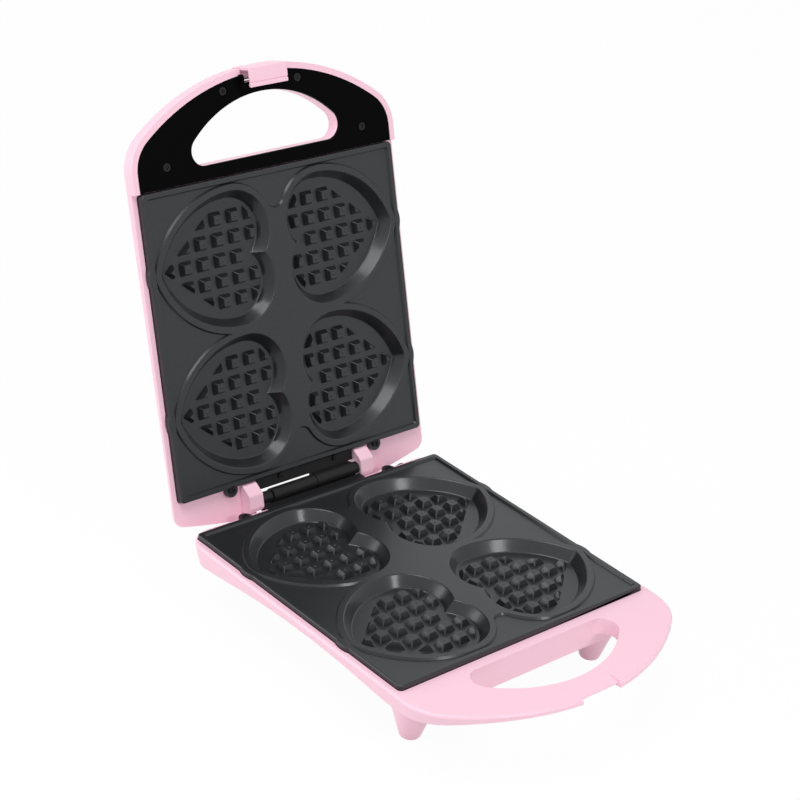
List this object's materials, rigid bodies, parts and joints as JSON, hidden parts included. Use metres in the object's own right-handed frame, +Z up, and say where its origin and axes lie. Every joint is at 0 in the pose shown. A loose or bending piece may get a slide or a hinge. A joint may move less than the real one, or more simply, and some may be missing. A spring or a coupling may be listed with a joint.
{
  "type": "waffle maker",
  "caption": "Countertop waffle maker, lid open: heart-shaped wells with stud grids, arched hand-hole handles, hinged lid and a swinging latch.",
  "frame": {"origin": "on the floor, under the middle of the open part's box", "axes": "+Z up, +Y from the handle towards the hinge, X along the hinge"},
  "size_m": [0.2198, 0.3846, 0.3326],
  "materials": {
    "pink_plastic": "satin moulded, rounded edges",
    "nonstick": "dark non-stick coating on cast aluminium",
    "black_plastic": "polished",
    "black_steel": "black coated sheet",
    "screw_steel": "zinc plated",
    "heater_steel": "heat-dulled sheath",
    "aluminium": "bright rolled sheet",
    "ceramic": "unglazed white",
    "brass": "turned",
    "lens": "clear red, polished"
  },
  "bodies": {
    "base": {"base_shell": "pink_plastic", "base_plate": "nonstick", "base_heating_element": "heater_steel", "base_element_saddles": "aluminium", "base_reflector": "aluminium", "base_reflector_screws": "screw_steel", "base_plate_screws": "black_steel", "thermostat": "ceramic", "thermostat_spring": "heater_steel", "thermal_fuse": "aluminium", "terminal_block": "ceramic", "terminal_screws": "brass", "cord_gland": "black_plastic", "hinge_base_leaf": "black_steel", "hinge_base_screws": "black_steel", "hinge_pin": "black_steel"},
    "lid": {"lid_shell": "pink_plastic", "lid_plate": "nonstick", "lid_heating_element": "heater_steel", "lid_element_saddles": "aluminium", "lid_reflector": "aluminium", "lid_reflector_screws": "screw_steel", "lid_plate_screws": "black_steel", "handle_cover": "black_plastic", "handle_cover_screws": "black_steel", "hinge_lid_leaf": "black_steel", "hinge_lid_screws": "black_steel", "indicator_lenses": "lens", "indicator_lamps": "ceramic", "lamp_holder": "ceramic", "latch_pin": "black_steel"},
    "latch": {"latch_clip": "pink_plastic"}
  },
  "joints": [
    {"name": "lid_hinge", "type": "hinge", "parent": "base", "child": "lid", "pos_m": [0, 0.09627, 0.054], "axis": [1, 0, 0], "range_deg": [0, 107]},
    {"name": "latch_hinge", "type": "hinge", "parent": "lid", "child": "latch", "pos_m": [0, 0.18566, 0.32281], "axis": [-1, 0, 0], "range_deg": [0, 40]}
  ]
}
